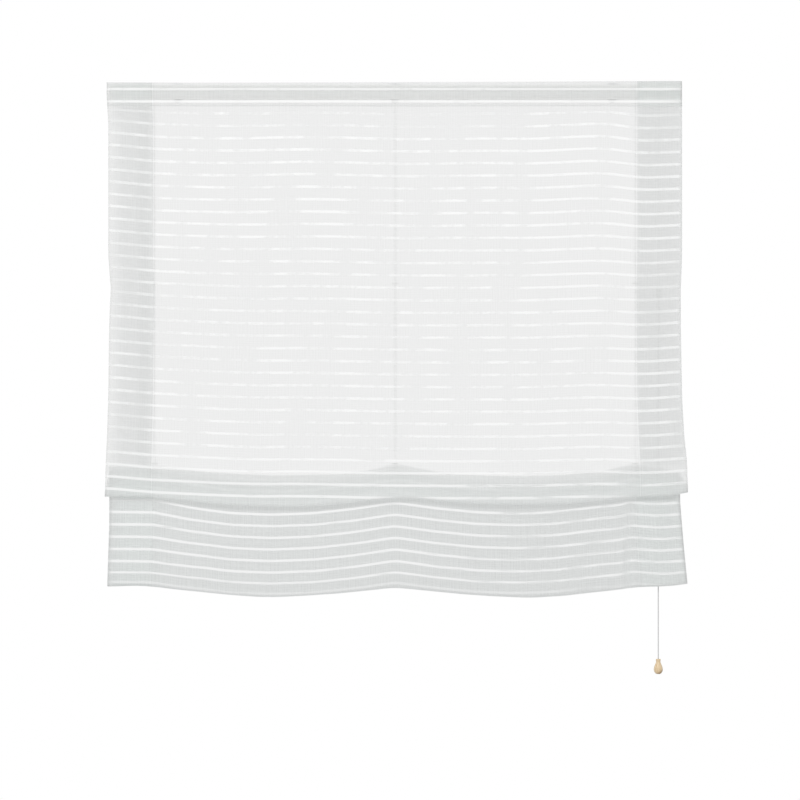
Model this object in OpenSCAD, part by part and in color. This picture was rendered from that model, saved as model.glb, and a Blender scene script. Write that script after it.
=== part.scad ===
// Roman blind of sheer striped cloth, partly raised, with its headrail, lift cords and pull.
// Millimetres. X runs along the headrail, the room is at -Y, the wall is the plane y = 0.
// The origin is on the wall, in the middle of the two screws of the middle bracket.

/* [Cloth] */
// Finished width of the cloth
cloth_w = 1400; // [1100:10:1600]
// Thickness of one layer of cloth
cloth_t = 0.8; // [0.6:0.1:1]
// Height of the doubled heading at the top
heading_h = 56; // [50:1:70]
// Width of each doubled side hem
side_hem = 110; // [90:5:140]
// Height of the doubled hem at the free end
end_hem = 40; // [25:5:60]

/* [Folds] */
// Drop from the top edge to the front fold, at the cords
front_fold_drop = 1006; // [990:1:1080]
// Drop from the top edge to the crest that the cords hold up
crest_drop = 928; // [860:1:950]
// Drop from the top edge to the lower fold, at the outer cords
lower_fold_drop = 1219; // [1150:1:1300]
// Sag of the folds halfway between two cords
fold_sag = 28; // [10:1:40]
// How much deeper the lower fold hangs at the middle cord
middle_drop = 10; // [0:1:20]
// Outer radius of the front fold
front_fold_r = 7; // [5:0.5:9]
// Inner radius of the crest
crest_r = 2.2; // [1.8:0.1:3]
// Height over which the flat part leans forward to the front fold
lean_h = 280; // [200:10:400]
// How far the side edges stand out at the front fold
side_flare = 7; // [0:1:12]
// How far the side edges draw in between
side_waist = 5; // [0:1:10]

/* [Stripes] */
// Distance from stripe to stripe
stripe_pitch = 30; // [25:1:40]
// Width of a stripe
stripe_w = 6; // [3:0.5:8]
// Height of a stripe above the cloth
stripe_h = 0.6; // [0.3:0.1:1]
// Distance of the first stripe from the top edge
first_stripe = 16; // [10:1:22]

/* [Headrail] */
// Depth of the headrail, front to back
rail_d = 22; // [21:0.5:26]
// Height of the headrail
rail_h = 34; // [33:1:40]
// Wall of the headrail
rail_wall = 1.3; // [1:0.1:1.6]
// Width of each lip beside the slots, wall included
rail_lip = 4; // [3.5:0.1:5]
// Height inside the slot along the top
top_slot_h = 4.2; // [4:0.1:5]
// Distance from the wall to the back of the headrail
rail_standoff = 14; // [13:0.5:20]
// Height of the headrail's top above the screw line
rail_rise = 16; // [15:0.5:20]
// Distance from a side edge of the cloth to the outside of the end cap
rail_inset = 6; // [2:1:12]
// Thickness of an end cap's plate
cap_t = 2; // [1.5:0.1:3]
// Depth of an end cap's plug
plug_l = 10; // [8:1:14]

/* [Grip strips] */
// Height of the hook and loop strips
grip_h = 25; // [20:1:25]
// Thickness of the hook strip
hook_t = 1.5; // [1.2:0.1:2]
// Thickness of the loop strip
loop_t = 1.2; // [1:0.1:1.6]
// Depth of the recess for the hook strip
grip_recess = 0.5; // [0.3:0.1:0.6]

/* [Brackets] */
// Width of a bracket
bracket_w = 22; // [18:1:26]
// Sheet thickness of a bracket
bracket_t = 2; // [1.5:0.1:2]
// Distance of an outer bracket from the side edge of the cloth
bracket_inset = 170; // [150:5:250]
// Diameter of a screw hole
screw_d = 4.5; // [4:0.1:5.5]
// Distance between the two screws of a bracket
screw_pitch = 20; // [16:1:24]
// Diameter of the pivot rivet
pivot_d = 4; // [3:0.1:4.4]
// Radius of the cam's hub
hub_r = 3.6; // [3.2:0.1:4]
// Reach of the cam lever from its pivot
lever_l = 17; // [15:0.5:18]
// Thickness of the cam lever
lever_t = 1.6; // [1.2:0.1:2]

/* [Cord guides and lock] */
// Radius of a guide roller
roller_r = 5; // [4.5:0.1:5.5]
// Width of a guide roller
roller_w = 7.6; // [7.6:0.1:9]
// Diameter of a roller's axle
axle_d = 2.5; // [2:0.1:3]
// Thickness of a cheek that holds an axle
cheek_t = 1.2; // [1:0.1:1.6]
// Length of a cord guide's foot
guide_l = 28; // [26:1:34]
// Thickness of the foot of a guide or of the lock
foot_t = 2; // [1.5:0.1:2.5]
// Distance of the cord lock's outlet from the side edge of the cloth
lock_inset = 58; // [54:1:70]
// Length of the cord lock's foot
lock_l = 52; // [48:1:54]
// Diameter of the locking roller
lock_roller_d = 6.4; // [5.6:0.1:6.6]
// Diameter of the locking roller's journals
journal_d = 2.4; // [2:0.1:2.8]
// Travel of the locking roller in its slot
lock_travel = 6; // [4:0.5:6]
// Slope of the locking roller's slot
lock_slope = 60; // [50:1:65]

/* [Cords, tapes and rings] */
// Diameter of a lift cord
lift_cord_d = 1.2; // [1:0.1:1.4]
// Distance between lift cords that run side by side
lane_pitch = 2; // [1.8:0.1:2.2]
// Outer diameter of a ring
ring_d = 16; // [16:0.5:18]
// Thickness of a ring's wire
ring_wire = 2; // [1.6:0.1:2.2]
// Drop from the top edge to the rings on the flat part
upper_ring_drop = 488; // [300:1:600]
// Distance from a ring at the crest down to the ring at the free hem
ring_stack = 10; // [9:0.5:14]
// Width of a ring tape
tape_w = 8; // [6:0.5:9]
// Thickness of a ring tape
tape_t = 0.5; // [0.4:0.1:0.6]
// Distance of an outer tape's middle from the edge of the side hem
tape_inset = 5; // [5:0.5:12]

/* [Pull] */
// Drop from the screw line to the top of the cord joiner
joiner_drop = 478; // [450:1:520]
// Height of the cord joiner
joiner_h = 26; // [22:1:30]
// Wall of the cord joiner
joiner_wall = 1.6; // [1.2:0.1:2]
// Diameter of the pull cord
pull_cord_d = 2.6; // [1.8:0.1:2.8]
// Diameter of the knots at the ends of the pull cord
pull_knot_d = 4.8; // [4.2:0.1:5.2]
// Height of the wooden acorn
acorn_h = 36.5; // [32:0.5:42]
// Largest diameter of the acorn
acorn_d = 22; // [20:0.5:24]
// Diameter of the acorn's collar
collar_d = 11.5; // [10:0.5:13]
// Height of the acorn's collar
collar_h = 5; // [3:0.5:7]

/* [Fits] */
// Radial clearance of a piece that turns on a pin
run_fit = 0.05; // [0.02:0.01:0.1]
// Gap between pieces that rest on each other
seat_gap = 0.3; // [0.2:0.05:0.4]

/* [Hidden] */
$fn = 48;

// Headrail, measured across: front and back faces, top, bottom and the levels of its slots
rail_back = -rail_standoff;
rail_front = rail_back - rail_d;
rail_top = rail_rise;
rail_bottom = rail_top - rail_h;
lip_bottom = rail_top - rail_wall;
slot_floor = lip_bottom - top_slot_h;
channel_top = slot_floor - rail_wall;
channel_bottom = rail_bottom + rail_wall;
grip_bottom = (rail_top + rail_bottom - grip_h) / 2;
grip_play = 0.5;
cap_x = cloth_w / 2 - rail_inset;
rail_l = 2 * (cap_x - cap_t);

// Brackets and cam levers
bracket_x = cloth_w / 2 - bracket_inset;
bracket_play = 0.4;
lever_bottom = rail_top + bracket_play;
lever_top = lever_bottom + lever_t;
plate_bottom = lever_top + bracket_play;
plate_top = plate_bottom + bracket_t;
leg_end = screw_pitch / 2 + screw_d;
pivot_y = rail_back - rail_lip - hub_r - bracket_play;
rivet_head_t = 0.8;
rivet_head_r = pivot_d / 2 + 1.2;
cam_bottom = slot_floor + bracket_play + rivet_head_t + seat_gap;
cam_top = lip_bottom - seat_gap;
lobe_reach = rail_back - rail_wall - pivot_y - bracket_play - seat_gap;
lobe_r = hub_r - 0.6;
lever_r = 3;

// The cloth in depth, front faces first, from the strips on the headrail back to the free hem
cloth_top = plate_top + 1;
cloth_front = rail_front + grip_recess - hook_t - loop_t - 2 * cloth_t;
ring_mid_r = (ring_d - ring_wire) / 2;
upper_ring_y = cloth_front + cloth_t + tape_t + 2 * seat_gap + ring_d / 2;
lane_mid = upper_ring_y + ring_d / 2 - ring_wire - lane_pitch - lift_cord_d / 2 - 1.2;
crest_ring_y = lane_mid - 1;
crest_y = crest_ring_y - ring_mid_r - seat_gap;
second_y = crest_y - crest_r;
third_y = crest_y + crest_r;
fold_front = second_y - 2 * front_fold_r;
hem_ring_y = third_y + cloth_t + seat_gap + ring_d / 2;
fourth_y = hem_ring_y + ring_d / 2 + seat_gap + 2 * cloth_t;
lower_fold_r = (fourth_y - third_y) / 2;

// Heights of the fold centres and rings
front_fold_z = cloth_top - front_fold_drop + front_fold_r;
crest_z = cloth_top - crest_drop - crest_r - cloth_t;
lower_fold_z = cloth_top - lower_fold_drop + lower_fold_r;
crest_ring_z = cloth_top - crest_drop + ring_wire / 2 + seat_gap;
hem_ring_z = crest_ring_z - ring_stack;
upper_ring_z = cloth_top - upper_ring_drop;
hem_end_z = hem_ring_z + 4;

// Length of cloth from the top edge to where each stretch of the folded sheet ends
front_end = cloth_top - front_fold_z;
front_fold_end = front_end + PI * front_fold_r;
second_end = front_fold_end + crest_z - front_fold_z;
crest_end = second_end + PI * crest_r;
third_end = crest_end + crest_z - lower_fold_z;
lower_fold_end = third_end + PI * lower_fold_r;
cloth_l = lower_fold_end + hem_end_z - lower_fold_z;

// Across the cloth: edges, side hems and the two bays between the cords
bay = cloth_w / 2 - side_hem;
hem_step = 5;
bay_steps = 5;
cord_x = bay - tape_inset;
inner_xs = [for (i = [1 - bay_steps:bay_steps - 1]) i * bay / bay_steps];
cloth_xs = concat(
  [-cloth_w / 2, -bay - hem_step, -bay],
  inner_xs,
  [bay, bay + hem_step, cloth_w / 2]
);

// Cord run in the headrail
axle_z = 0;
bend_r = roller_r + seat_gap + lift_cord_d / 2;
cheek_gap = roller_w / 2 + seat_gap;
foot_play = 0.2;
foot_back = rail_back - rail_wall - foot_play;
foot_front = rail_front + rail_wall + foot_play;
lock_x = cloth_w / 2 - lock_inset;
lock_roller_x = lock_x + lift_cord_d / 2 + seat_gap + lock_roller_d / 2;
slot_play = 0.1;

// Where the three lift cords meet the pull cord
joiner_y = lane_mid + 5;
joiner_top = -joiner_drop;
joiner_mouth_r = lane_pitch + lift_cord_d / 2 + seat_gap;
joiner_hole_r = pull_cord_d / 2 + seat_gap;
joiner_bore_r = joiner_mouth_r + 1;
joiner_floor = joiner_top - joiner_h + 2 * joiner_wall;
lift_end_z = joiner_floor + pull_knot_d + 2;
pull_start = [lock_x, joiner_y, joiner_floor + pull_knot_d / 2 + seat_gap];

// Route of the pull cord from its upper knot, chosen by hand: back past the folds, then straight down
pull_route = [
  [0, 0, 0], [0, 0, -20], [0, 0.3, -50], [0, 1, -90], [0, 2.2, -140], [0, 3.8, -190],
  [0, 5.5, -240], [0, 7.2, -290], [0, 8.8, -340], [0, 9.9, -385], [0, 10.4, -430], [0, 10.4, -490],
  [0, 10.4, -560], [0, 10.4, -640], [0, 10.4, -720], [0, 10.4, -800], [0, 10.4, -870], [0, 10.4, -914]
];
pull_steps = 4;
acorn_floor = 9;
acorn_at = pull_start + pull_route[len(pull_route) - 1]
  - [0, 0, pull_knot_d / 2 + acorn_floor - pull_knot_d - seat_gap];

// Helpers

function unit(v) = v / norm(v);
function ease(t) = let (u = min(1, max(0, t))) u * u * (3 - 2 * u);

// Rows sorted by their first number
function by_first(rows) = len(rows) < 2 ? rows : let (
  pivot = rows[floor(len(rows) / 2)][0],
  before = [for (r = rows) if (r[0] < pivot) r],
  same = [for (r = rows) if (r[0] == pivot) r],
  after = [for (r = rows) if (r[0] > pivot) r]
) concat(by_first(before), same, by_first(after));

// A profile drawn as (y, z), drawn out along X about the middle
module along_x(l) {
  translate([-l / 2, 0, 0])
    rotate([90, 0, 90])
      linear_extrude(l)
        children();
}

// A rectangle between two corners
module rect(a, b) {
  translate(a)
    square(b - a);
}

// A box between two corners
module box(a, b) {
  translate(a)
    cube(b - a);
}

// A round bar along Y between two depths
module bar_y(x, z, y0, y1, r) {
  translate([x, y1, z])
    rotate([90, 0, 0])
      cylinder(h = y1 - y0, r = r);
}

// A tube swept along points, with a radius at each, for cords that lie across Y
module swept_tube(points, radii, sides = 8) {
  last = len(points) - 1;
  rings = [
    for (i = [0:last])
      let (
        t = unit(points[min(i + 1, last)] - points[max(i - 1, 0)]),
        across = unit(cross(t, [0, 1, 0])),
        up = cross(across, t)
      )
      for (k = [0:sides - 1])
        points[i] + radii[i] * (cos(360 * k / sides) * across + sin(360 * k / sides) * up)
  ];
  walls = [
    for (i = [0:last - 1], k = [0:sides - 1])
      let (
        a = i * sides + k,
        b = i * sides + (k + 1) % sides,
        c = b + sides,
        d = a + sides
      )
      each [[a, b, c], [a, c, d]]
  ];
  start = [[for (k = [sides - 1:-1:0]) k]];
  end = [[for (k = [0:sides - 1]) last * sides + k]];
  polyhedron(rings, concat(start, walls, end));
}

// Cloth

// How far the front face of the flat part stands out, at a length of cloth from the top
function front_y(s) =
  cloth_front + (fold_front - cloth_front) * ease((s - (crest_drop - lean_h)) / lean_h);

// A point of the folded sheet's front face as [y, z, back y, back z], the last two a unit step to its back
function fold_point(s) =
  s <= front_end ? [front_y(s), cloth_top - s, 1, 0] :
  s <= front_fold_end ? let (a = (s - front_end) / front_fold_r * 180 / PI)
    [fold_front + front_fold_r * (1 - cos(a)), front_fold_z - front_fold_r * sin(a), cos(a), sin(a)] :
  s <= second_end ? [second_y, front_fold_z + s - front_fold_end, -1, 0] :
  s <= crest_end ? let (a = (s - second_end) / crest_r * 180 / PI)
    [crest_y - crest_r * cos(a), crest_z + crest_r * sin(a), -cos(a), sin(a)] :
  s <= third_end ? [third_y, crest_z - (s - crest_end), 1, 0] :
  s <= lower_fold_end ? let (a = (s - third_end) / lower_fold_r * 180 / PI)
    [third_y + lower_fold_r * (1 - cos(a)), lower_fold_z - lower_fold_r * sin(a), cos(a), sin(a)] :
  [fourth_y, lower_fold_z + s - lower_fold_end, -1, 0];

// Sag between the cords: none at a cord or in a side hem, most halfway between
function swag(x) = abs(x) >= bay ? 0 : 1 - pow(2 * abs(x) / bay - 1, 2);
function sag(x, s) =
  fold_sag * swag(x) * ease((s - (crest_drop - lean_h)) / (front_end - crest_drop + lean_h))
  + middle_drop * max(0, 1 - abs(x) / bay)
    * lookup(s, [[crest_end, 0], [third_end, 1], [lower_fold_end, 1], [cloth_l, 0]]);

// How far a side edge stands out or draws in
function edge_out(s) = lookup(s, [
  [heading_h, 0], [crest_drop / 2, -side_waist], [crest_drop, side_flare], [second_end, side_flare],
  [crest_end, -side_waist], [third_end, side_flare / 2], [lower_fold_end, side_flare / 2], [cloth_l, 0]
]);

// Layers of cloth at a place: two in the heading and in the hems
function layers(x, s) =
  abs(x) > bay || s <= heading_h || s >= cloth_l - end_hem ? 2 : 1;

function cloth_point(x, s, proud, back) = let (
  p = fold_point(s),
  off = back ? cloth_t * layers(x, s) : -proud,
  edge = abs(x) == cloth_w / 2 ? sign(x) * edge_out(s) : 0
) [x + edge, p[0] + off * p[2], p[1] + off * p[3] - sag(x, s)];

// Rows down the cloth as [length, height of stripe, on both faces]
row_gap = 0.4;
hem_ramp = 2;
stripe_rows = [
  for (s = [first_stripe:stripe_pitch:cloth_l - stripe_w])
    each [[s - stripe_w / 2, 0, false], [s, stripe_h, true], [s + stripe_w / 2, 0, false]]
];
fold_rows = concat(
  [for (i = [0:6]) [front_end + i * PI * front_fold_r / 6, 0, true]],
  [for (i = [0:4]) [second_end + i * PI * crest_r / 4, 0, true]],
  [for (i = [0:6]) [third_end + i * PI * lower_fold_r / 6, 0, true]]
);
hem_rows = [
  [heading_h, 0, true], [heading_h + hem_ramp, 0, true],
  [cloth_l - end_hem - hem_ramp, 0, true], [cloth_l - end_hem, 0, true]
];
sorted_rows = by_first(concat(stripe_rows, fold_rows, hem_rows));
spaced_rows = [
  for (i = [0:len(sorted_rows) - 1])
    if (i == 0 || sorted_rows[i][0] - sorted_rows[i - 1][0] > row_gap) sorted_rows[i]
];
cloth_rows = concat(
  [[0, 0, true]],
  [for (r = spaced_rows) if (r[0] > row_gap && r[0] < cloth_l - row_gap) r],
  [[cloth_l, 0, true]]
);
back_rows = [for (r = cloth_rows) if (r[2]) r];
// Row of the back face that each row of the front face comes after
back_of = [for (i = [0:len(cloth_rows) - 1]) len([for (k = [0:i]) if (cloth_rows[k][2]) 1]) - 1];

module cloth() {
  n = len(cloth_xs);
  rows = len(cloth_rows);
  backs = len(back_rows);
  function front_at(i, j) = i * n + j;
  function back_at(i, j) = (rows + i) * n + j;
  points = concat(
    [for (r = cloth_rows) for (x = cloth_xs) cloth_point(x, r[0], r[1], false)],
    [for (r = back_rows) for (x = cloth_xs) cloth_point(x, r[0], 0, true)]
  );
  front_faces = [
    for (i = [0:rows - 2], j = [0:n - 2])
      each [
        [front_at(i, j), front_at(i, j + 1), front_at(i + 1, j + 1)],
        [front_at(i, j), front_at(i + 1, j + 1), front_at(i + 1, j)]
      ]
  ];
  back_faces = [
    for (i = [0:backs - 2], j = [0:n - 2])
      each [
        [back_at(i, j), back_at(i + 1, j + 1), back_at(i, j + 1)],
        [back_at(i, j), back_at(i + 1, j), back_at(i + 1, j + 1)]
      ]
  ];
  left_edge = [
    for (i = [0:rows - 2])
      let (b = back_of[i], c = back_of[i + 1])
      each concat(
        [[front_at(i, 0), front_at(i + 1, 0), back_at(b, 0)]],
        c > b ? [[front_at(i + 1, 0), back_at(c, 0), back_at(b, 0)]] : []
      )
  ];
  right_edge = [
    for (i = [0:rows - 2])
      let (b = back_of[i], c = back_of[i + 1])
      each concat(
        [[front_at(i + 1, n - 1), front_at(i, n - 1), back_at(b, n - 1)]],
        c > b ? [[back_at(c, n - 1), front_at(i + 1, n - 1), back_at(b, n - 1)]] : []
      )
  ];
  top_edge = [
    for (j = [0:n - 2])
      each [
        [front_at(0, j), back_at(0, j), back_at(0, j + 1)],
        [front_at(0, j), back_at(0, j + 1), front_at(0, j + 1)]
      ]
  ];
  hem_edge = [
    for (j = [0:n - 2])
      each [
        [front_at(rows - 1, j), back_at(backs - 1, j + 1), back_at(backs - 1, j)],
        [front_at(rows - 1, j), front_at(rows - 1, j + 1), back_at(backs - 1, j + 1)]
      ]
  ];
  color("whitesmoke")
    polyhedron(points, concat(front_faces, back_faces, left_edge, right_edge, top_edge, hem_edge));
}

// Strips that hold the heading on the headrail

module grip_strip(front, back) {
  along_x(rail_l)
    rect([front, grip_bottom], [back, grip_bottom + grip_h]);
}

hook_front = rail_front + grip_recess - hook_t;

module hook_strip() {
  color("white")
    grip_strip(hook_front, hook_front + hook_t);
}

module loop_strip() {
  color("ivory")
    grip_strip(hook_front - loop_t, hook_front);
}

// Headrail and its end caps

module headrail() {
  inner_front = rail_front + rail_wall;
  inner_back = rail_back - rail_wall;
  color("white")
    along_x(rail_l)
      difference() {
        rect([rail_front, rail_bottom], [rail_back, rail_top]);
        rect([inner_front, channel_bottom], [inner_back, channel_top]);
        rect([inner_front, slot_floor], [inner_back, lip_bottom]);
        rect([rail_front + rail_lip, lip_bottom - 1], [rail_back - rail_lip, rail_top + 1]);
        rect([rail_front + rail_lip, rail_bottom - 1], [rail_back - rail_lip, channel_bottom + 1]);
        rect([rail_front - 1, grip_bottom - grip_play],
          [rail_front + grip_recess, grip_bottom + grip_h + grip_play]);
      }
}

module end_cap(side) {
  corner = 2;
  plug_wall = 1.2;
  plug_play = 0.15;
  a = [rail_front + rail_wall + plug_play, channel_bottom + plug_play];
  b = [rail_back - rail_wall - plug_play, channel_top - plug_play];
  inset = [plug_wall, plug_wall];
  color("whitesmoke") {
    translate([side * (cap_x - cap_t / 2), 0, 0])
      along_x(cap_t) {
        rect([rail_front + corner, rail_bottom], [rail_back - corner, rail_top]);
        rect([rail_front, rail_bottom + corner], [rail_back, rail_top - corner]);
        for (y = [rail_front + corner, rail_back - corner], z = [rail_bottom + corner, rail_top - corner])
          translate([y, z])
            circle(corner);
      }
    translate([side * (cap_x - cap_t - plug_l / 2), 0, 0])
      along_x(plug_l)
        difference() {
          rect(a, b);
          rect(a + inset, b - inset);
        }
  }
}

module end_cap_left() { end_cap(-1); }
module end_cap_right() { end_cap(1); }

// Wall brackets: a leg with two screw holes, a plate over the headrail, a hook under its front lip
// and a rivet for the cam lever

module bracket(x) {
  neck_front = rail_front + rail_lip + bracket_play;
  hook_tip = rail_front + rail_wall + bracket_play;
  hook_top = lip_bottom - seat_gap;
  half = bracket_w / 2;
  color("gainsboro")
    translate([x, 0, 0]) {
      difference() {
        union() {
          box([-half, -bracket_t, -leg_end], [half, 0, plate_top]);
          bar_y(0, -leg_end, -bracket_t, 0, half);
        }
        for (z = [-screw_pitch / 2, screw_pitch / 2])
          bar_y(0, z, -bracket_t - 1, 1, screw_d / 2);
      }
      along_x(bracket_w) {
        rect([neck_front, plate_bottom], [-bracket_t, plate_top]);
        rect([neck_front, hook_top - bracket_t], [neck_front + bracket_t, plate_bottom]);
        rect([hook_tip, hook_top - bracket_t], [neck_front, hook_top]);
      }
      translate([0, pivot_y, cam_bottom - seat_gap])
        cylinder(h = plate_bottom - cam_bottom + seat_gap, d = pivot_d);
      translate([0, pivot_y, cam_bottom - seat_gap - rivet_head_t])
        cylinder(h = rivet_head_t, r = rivet_head_r);
    }
}

module bracket_left() { bracket(-bracket_x); }
module bracket_middle() { bracket(0); }
module bracket_right() { bracket(bracket_x); }

// Cam lever: its lobe turns under the rear lip of the headrail, its arm lies above the headrail

module cam_lever(x) {
  color("white")
    translate([x, pivot_y, 0])
      difference() {
        union() {
          translate([0, 0, cam_bottom])
            cylinder(h = lever_top - cam_bottom, r = hub_r);
          translate([-lobe_r, 0, cam_bottom])
            cube([2 * lobe_r, lobe_reach - lobe_r, cam_top - cam_bottom]);
          translate([0, lobe_reach - lobe_r, cam_bottom])
            cylinder(h = cam_top - cam_bottom, r = lobe_r);
          translate([0, -lever_r, lever_bottom])
            cube([lever_l - lever_r, 2 * lever_r, lever_t]);
          translate([lever_l - lever_r, 0, lever_bottom])
            cylinder(h = lever_t, r = lever_r);
        }
        translate([0, 0, cam_bottom - 1])
          cylinder(h = lever_top - cam_bottom + 2, r = pivot_d / 2 + run_fit);
      }
}

module cam_lever_left() { cam_lever(-bracket_x); }
module cam_lever_middle() { cam_lever(0); }
module cam_lever_right() { cam_lever(bracket_x); }

// Cord guides: a foot on the lips of the channel, and two cheeks that hold the roller's axle

axle_seat = 0.02;

// The foot of a guide or of the lock, with an opening for the cords at x = 0
module foot(x0, x1) {
  opening_x = lift_cord_d / 2 + 1.4;
  opening_y = lane_pitch + lift_cord_d / 2 + 1;
  difference() {
    box([x0, foot_front, channel_bottom], [x1, foot_back, channel_bottom + foot_t]);
    box([-opening_x, lane_mid - opening_y, channel_bottom - 1],
      [opening_x, lane_mid + opening_y, channel_bottom + foot_t + 1]);
  }
}

// The depths of the two cheeks, as [front, back] of each
cheek_depths = [
  [lane_mid - cheek_gap - cheek_t, lane_mid - cheek_gap],
  [lane_mid + cheek_gap, lane_mid + cheek_gap + cheek_t]
];

module guide(x) {
  cheek_r = roller_r + 0.4;
  wheel_x = bend_r;
  color("white")
    translate([x, 0, 0]) {
      foot(wheel_x - guide_l / 2, wheel_x + guide_l / 2);
      for (depth = cheek_depths)
        difference() {
          union() {
            box([wheel_x - cheek_r, depth[0], channel_bottom + foot_t],
              [wheel_x + cheek_r, depth[1], axle_z]);
            bar_y(wheel_x, axle_z, depth[0], depth[1], cheek_r);
          }
          bar_y(wheel_x, axle_z, depth[0] - 1, depth[1] + 1, axle_d / 2 + axle_seat);
        }
    }
}

module guide_left() { guide(-cord_x); }
module guide_middle() { guide(0); }
module guide_right() { guide(cord_x); }

module axle(x) {
  color("silver")
    bar_y(x, axle_z, cheek_depths[0][0], cheek_depths[1][1], axle_d / 2);
}

module guide_axle_left() { axle(-cord_x + bend_r); }
module guide_axle_middle() { axle(bend_r); }
module guide_axle_right() { axle(cord_x + bend_r); }

// A roller with rims a little higher than the track, about its axle
module roller(x) {
  rim = 0.8;
  rim_rise = 0.25;
  color("whitesmoke")
    difference() {
      union() {
        bar_y(x, axle_z, lane_mid - roller_w / 2, lane_mid + roller_w / 2, roller_r);
        for (y = [lane_mid - roller_w / 2, lane_mid + roller_w / 2 - rim])
          bar_y(x, axle_z, y, y + rim, roller_r + rim_rise);
      }
      bar_y(x, axle_z, lane_mid - roller_w, lane_mid + roller_w, axle_d / 2 + run_fit);
    }
}

module guide_roller_left() { roller(-cord_x + bend_r); }
module guide_roller_middle() { roller(bend_r); }
module guide_roller_right() { roller(cord_x + bend_r); }

// Cord lock: the cords turn down over its wheel, and the knurled roller pins them against the wheel

lock_dir = [cos(lock_slope), 0, sin(lock_slope)];

module lock_housing() {
  left = -bend_r - roller_r - 2;
  right = lock_roller_x - lock_x + lock_travel * lock_dir[0] + lock_roller_d / 2;
  top = axle_z + lock_travel * lock_dir[2] + journal_d / 2 + 1;
  slot_r = journal_d / 2 + slot_play;
  color("white")
    translate([lock_x, 0, 0]) {
      foot(-lock_l / 2, lock_l / 2);
      for (depth = cheek_depths)
        difference() {
          box([left, depth[0], channel_bottom + foot_t], [right, depth[1], top]);
          bar_y(-bend_r, axle_z, depth[0] - 1, depth[1] + 1, axle_d / 2 + axle_seat);
          translate([lock_roller_x - lock_x, 0, axle_z])
            rotate([0, -lock_slope, 0]) {
              bar_y(0, 0, depth[0] - 1, depth[1] + 1, slot_r);
              bar_y(lock_travel, 0, depth[0] - 1, depth[1] + 1, slot_r);
              box([0, depth[0] - 1, -slot_r], [lock_travel, depth[1] + 1, slot_r]);
            }
        }
    }
}

module lock_axle() { axle(lock_x - bend_r); }
module lock_wheel() { roller(lock_x - bend_r); }

module lock_roller() {
  teeth = 20;
  knurl = 0.25;
  outer = lock_roller_d / 2;
  outline = [
    for (i = [0:2 * teeth - 1])
      let (a = 180 * i / teeth, r = i % 2 == 0 ? outer : outer - knurl)
      [r * cos(a), r * sin(a)]
  ];
  color("goldenrod") {
    translate([lock_roller_x, lane_mid + roller_w / 2, axle_z])
      rotate([90, 0, 0])
        linear_extrude(roller_w)
          polygon(outline);
    bar_y(lock_roller_x, axle_z, cheek_depths[0][0], cheek_depths[1][1], journal_d / 2);
  }
}

// Tapes and rings on the back of the cloth

module ring_tape(x) {
  first = heading_h + 6;
  last = crest_drop - 30;
  steps = 40;
  levels = [for (i = [0:steps]) first + (last - first) * i / steps];
  front = cloth_t + seat_gap;
  outline = concat(
    [for (s = levels) [front_y(s) + front, cloth_top - s]],
    [for (i = [steps:-1:0]) [front_y(levels[i]) + front + tape_t, cloth_top - levels[i]]]
  );
  color("snow")
    translate([x, 0, 0])
      along_x(tape_w)
        polygon(outline);
}

module ring_tape_left() { ring_tape(-cord_x); }
module ring_tape_middle() { ring_tape(0); }
module ring_tape_right() { ring_tape(cord_x); }

module ring(x, y, z) {
  translate([x, y, z])
    rotate_extrude()
      translate([ring_mid_r, 0])
        circle(d = ring_wire);
}

module rings(x) {
  color("white") {
    ring(x, upper_ring_y, upper_ring_z);
    ring(x, crest_ring_y, crest_ring_z);
    ring(x, hem_ring_y, hem_ring_z);
  }
}

module rings_left() { rings(-cord_x); }
module rings_middle() { rings(0); }
module rings_right() { rings(cord_x); }

// Lift cords: looped round the wire of the hem ring, up through the rings, over the guide roller,
// along the headrail, over the wheel of the lock and down into the joiner

module lift_cord(x, lane) {
  y = lane_mid + lane * lane_pitch;
  side = y - hem_ring_y;
  wire_x = sqrt(pow(ring_mid_r, 2) - pow(side, 2));
  out = [wire_x, side, 0] / ring_mid_r;
  hold = [x + wire_x, y, hem_ring_z];
  loop_r = ring_wire / 2 + seat_gap + lift_cord_d / 2;
  knot_z = 1.7 * loop_r;
  loop = [for (a = [450:-30:180]) hold + loop_r * (cos(a) * out + [0, 0, sin(a)])];
  stand = hold - loop_r * out;
  knot = [for (z = [knot_z - 1.4, knot_z - 0.7, knot_z, knot_z + 0.7, knot_z + 1.4]) stand + [0, 0, z]];
  over_guide = [for (a = [180:-15:90]) [x + bend_r + bend_r * cos(a), y, axle_z + bend_r * sin(a)]];
  over_wheel = [for (a = [90:-15:0]) [lock_x - bend_r + bend_r * cos(a), y, axle_z + bend_r * sin(a)]];
  down = [[lock_x, y, channel_bottom], [lock_x, y + joiner_y - lane_mid, lift_end_z]];
  points = concat(loop, knot, [[x, y, crest_ring_z + 25]], over_guide, over_wheel, down);
  r = lift_cord_d / 2;
  radii = concat(
    [for (p = loop) r],
    [r, 1.7 * r, 2 * r, 1.7 * r, r],
    [for (i = [len(loop) + len(knot):len(points) - 1]) r]
  );
  color("white")
    swept_tube(points, radii);
}

module lift_cord_left() { lift_cord(-cord_x, -1); }
module lift_cord_middle() { lift_cord(0, 0); }
module lift_cord_right() { lift_cord(cord_x, 1); }

// Cord joiner: a turned shell with a mouth for the three lift cords and a hole for the pull cord

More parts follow.
